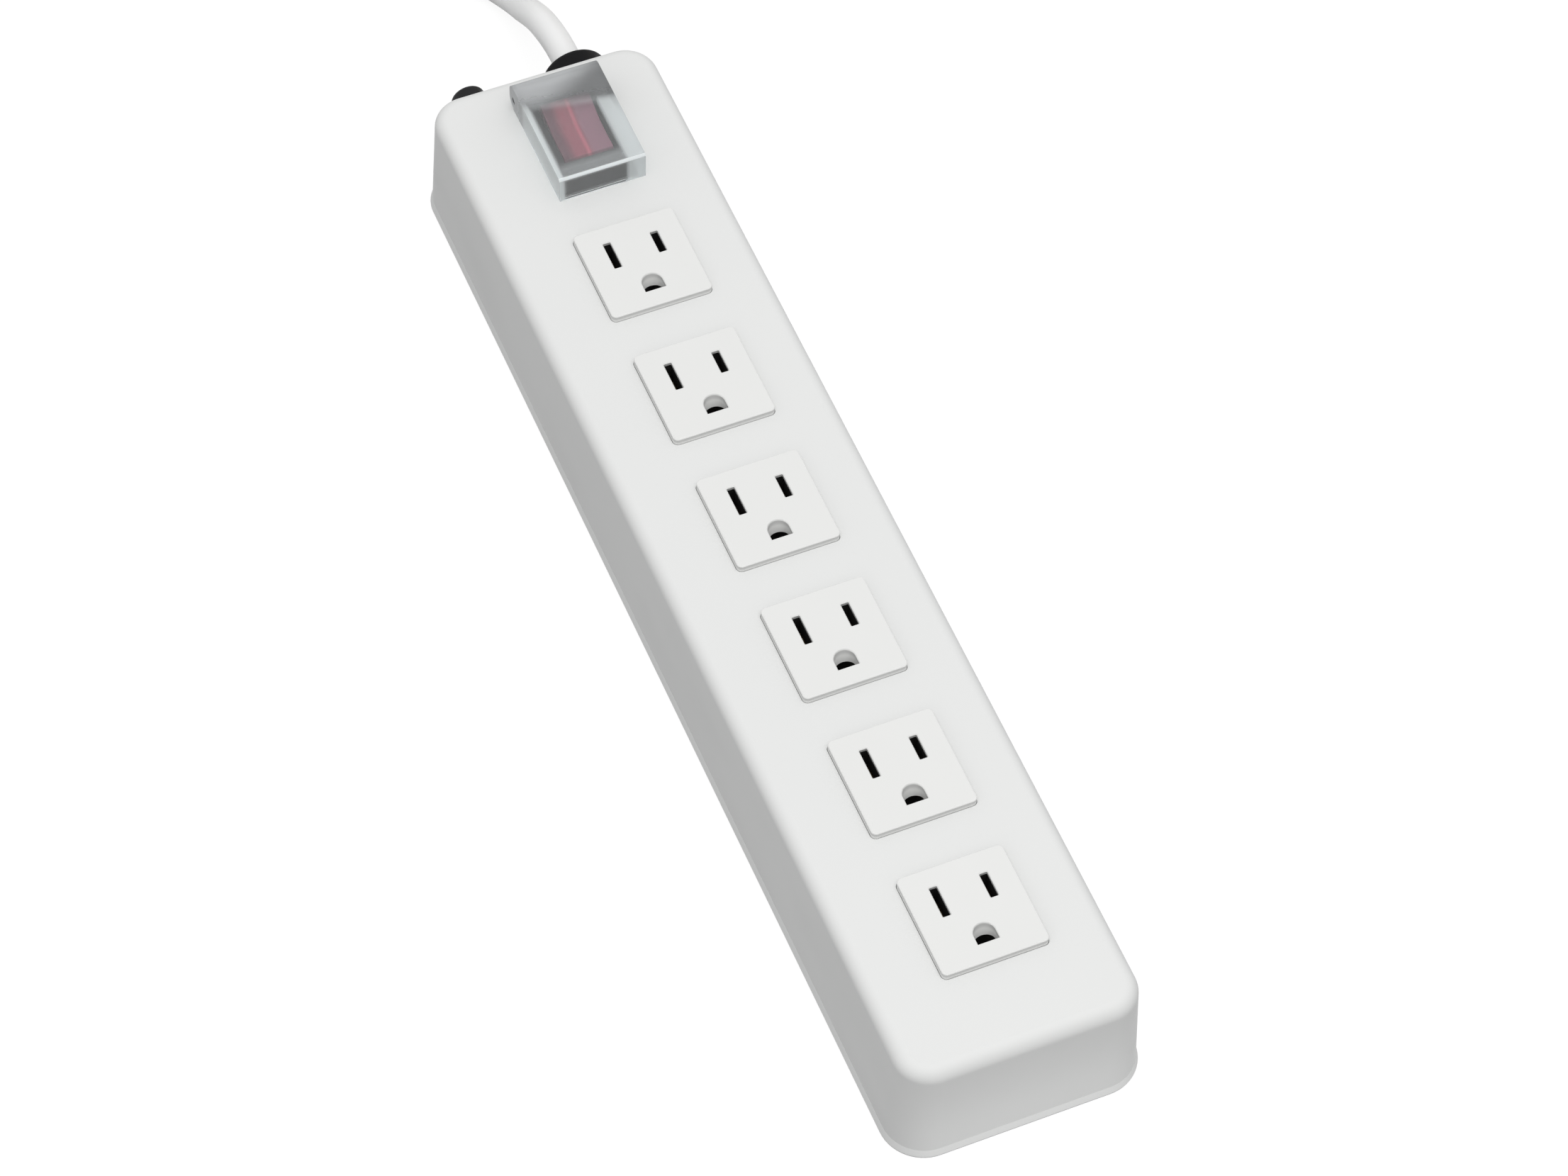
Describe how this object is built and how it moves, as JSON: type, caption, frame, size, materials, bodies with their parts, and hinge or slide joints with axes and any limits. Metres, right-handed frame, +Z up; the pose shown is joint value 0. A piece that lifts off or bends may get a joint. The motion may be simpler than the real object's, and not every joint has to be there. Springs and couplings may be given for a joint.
{
  "type": "power strip",
  "caption": "Straight power strip: a row of grounded outlets in a rectangular moulded housing, a rocker switch under a clear flip cover, a reset button, and a cord with plug.",
  "frame": {"origin": "centre of the base plate's underside, on the surface that the strip rests on", "axes": "+X along the housing towards the end with the cord, +Z up out of the outlets, +Y across"},
  "size_m": [0.4866, 0.1042, 0.0508],
  "materials": {
    "housing_white": "satin moulded",
    "outlet_white": "satin moulded",
    "screw_steel": "zinc plated",
    "tray_grey": "moulded",
    "contact_brass": "stamped",
    "tinned_steel": "tinned",
    "trim_black": "satin moulded",
    "tie_black": "coated wire",
    "rocker_red": "translucent moulded",
    "plunger_nylon": "moulded",
    "lamp_glass": "clear",
    "clear_cover": "clear moulded",
    "cord_white": "smooth jacket",
    "plug_white": "moulded",
    "wire_black": "insulation",
    "wire_white": "insulation",
    "wire_green": "insulation"
  },
  "bodies": {
    "strip": {"housing": "housing_white", "base_plate": "housing_white", "cover_screws": "screw_steel", "outlet_1": "outlet_white", "outlet_2": "outlet_white", "outlet_3": "outlet_white", "outlet_4": "outlet_white", "outlet_5": "outlet_white", "outlet_6": "outlet_white", "contact_tray": "tray_grey", "live_bus": "contact_brass", "neutral_bus": "contact_brass", "earth_bus": "contact_brass", "switch_body": "trim_black", "switch_terminals": "contact_brass", "switch_lamp": "lamp_glass", "cover_frame": "trim_black", "cover_pin": "screw_steel", "breaker_body": "trim_black", "breaker_terminals": "tinned_steel", "breaker_nut": "screw_steel", "cord_bushing": "trim_black", "cord_inner": "cord_white", "cord_lead": "cord_white", "cord_coil": "cord_white", "cord_tail": "cord_white", "cord_tie": "tie_black", "plug_body": "plug_white", "plug_blades": "contact_brass", "plug_earth_pin": "contact_brass", "wire_live_in": "wire_black", "wire_live_link": "wire_black", "wire_live_out": "wire_black", "wire_neutral": "wire_white", "wire_earth": "wire_green", "wire_lamp": "wire_white"},
    "rocker": {"switch_rocker": "rocker_red", "switch_plunger": "plunger_nylon"},
    "contact_arm": {"switch_arm": "contact_brass"},
    "cover": {"switch_cover": "clear_cover"},
    "reset": {"reset_button": "trim_black"}
  },
  "joints": [
    {"name": "rocker_tip", "type": "hinge", "parent": "strip", "child": "rocker", "pos_m": [0.1346, -0.0017, 0.035], "axis": [0, 1, 0], "range_deg": [0, 16]},
    {"name": "arm_tip", "type": "hinge", "parent": "strip", "child": "contact_arm", "pos_m": [0.1346, -0.0017, 0.02405], "axis": [0, 1, 0], "range_deg": [-12, 0]},
    {"name": "cover_flip", "type": "hinge", "parent": "strip", "child": "cover", "pos_m": [0.149, -0.0017, 0.0382], "axis": [0, 1, 0], "range_deg": [0, 105]},
    {"name": "reset_press", "type": "slide", "parent": "strip", "child": "reset", "axis": [-1, 0, 0], "range_m": [0, 0.003], "stiffness_N_per_m": 600, "springref_m": -0.001}
  ],
  "couplings": [
    {"joint": "arm_tip", "follows": "rocker_tip", "ratio": -0.75}
  ]
}
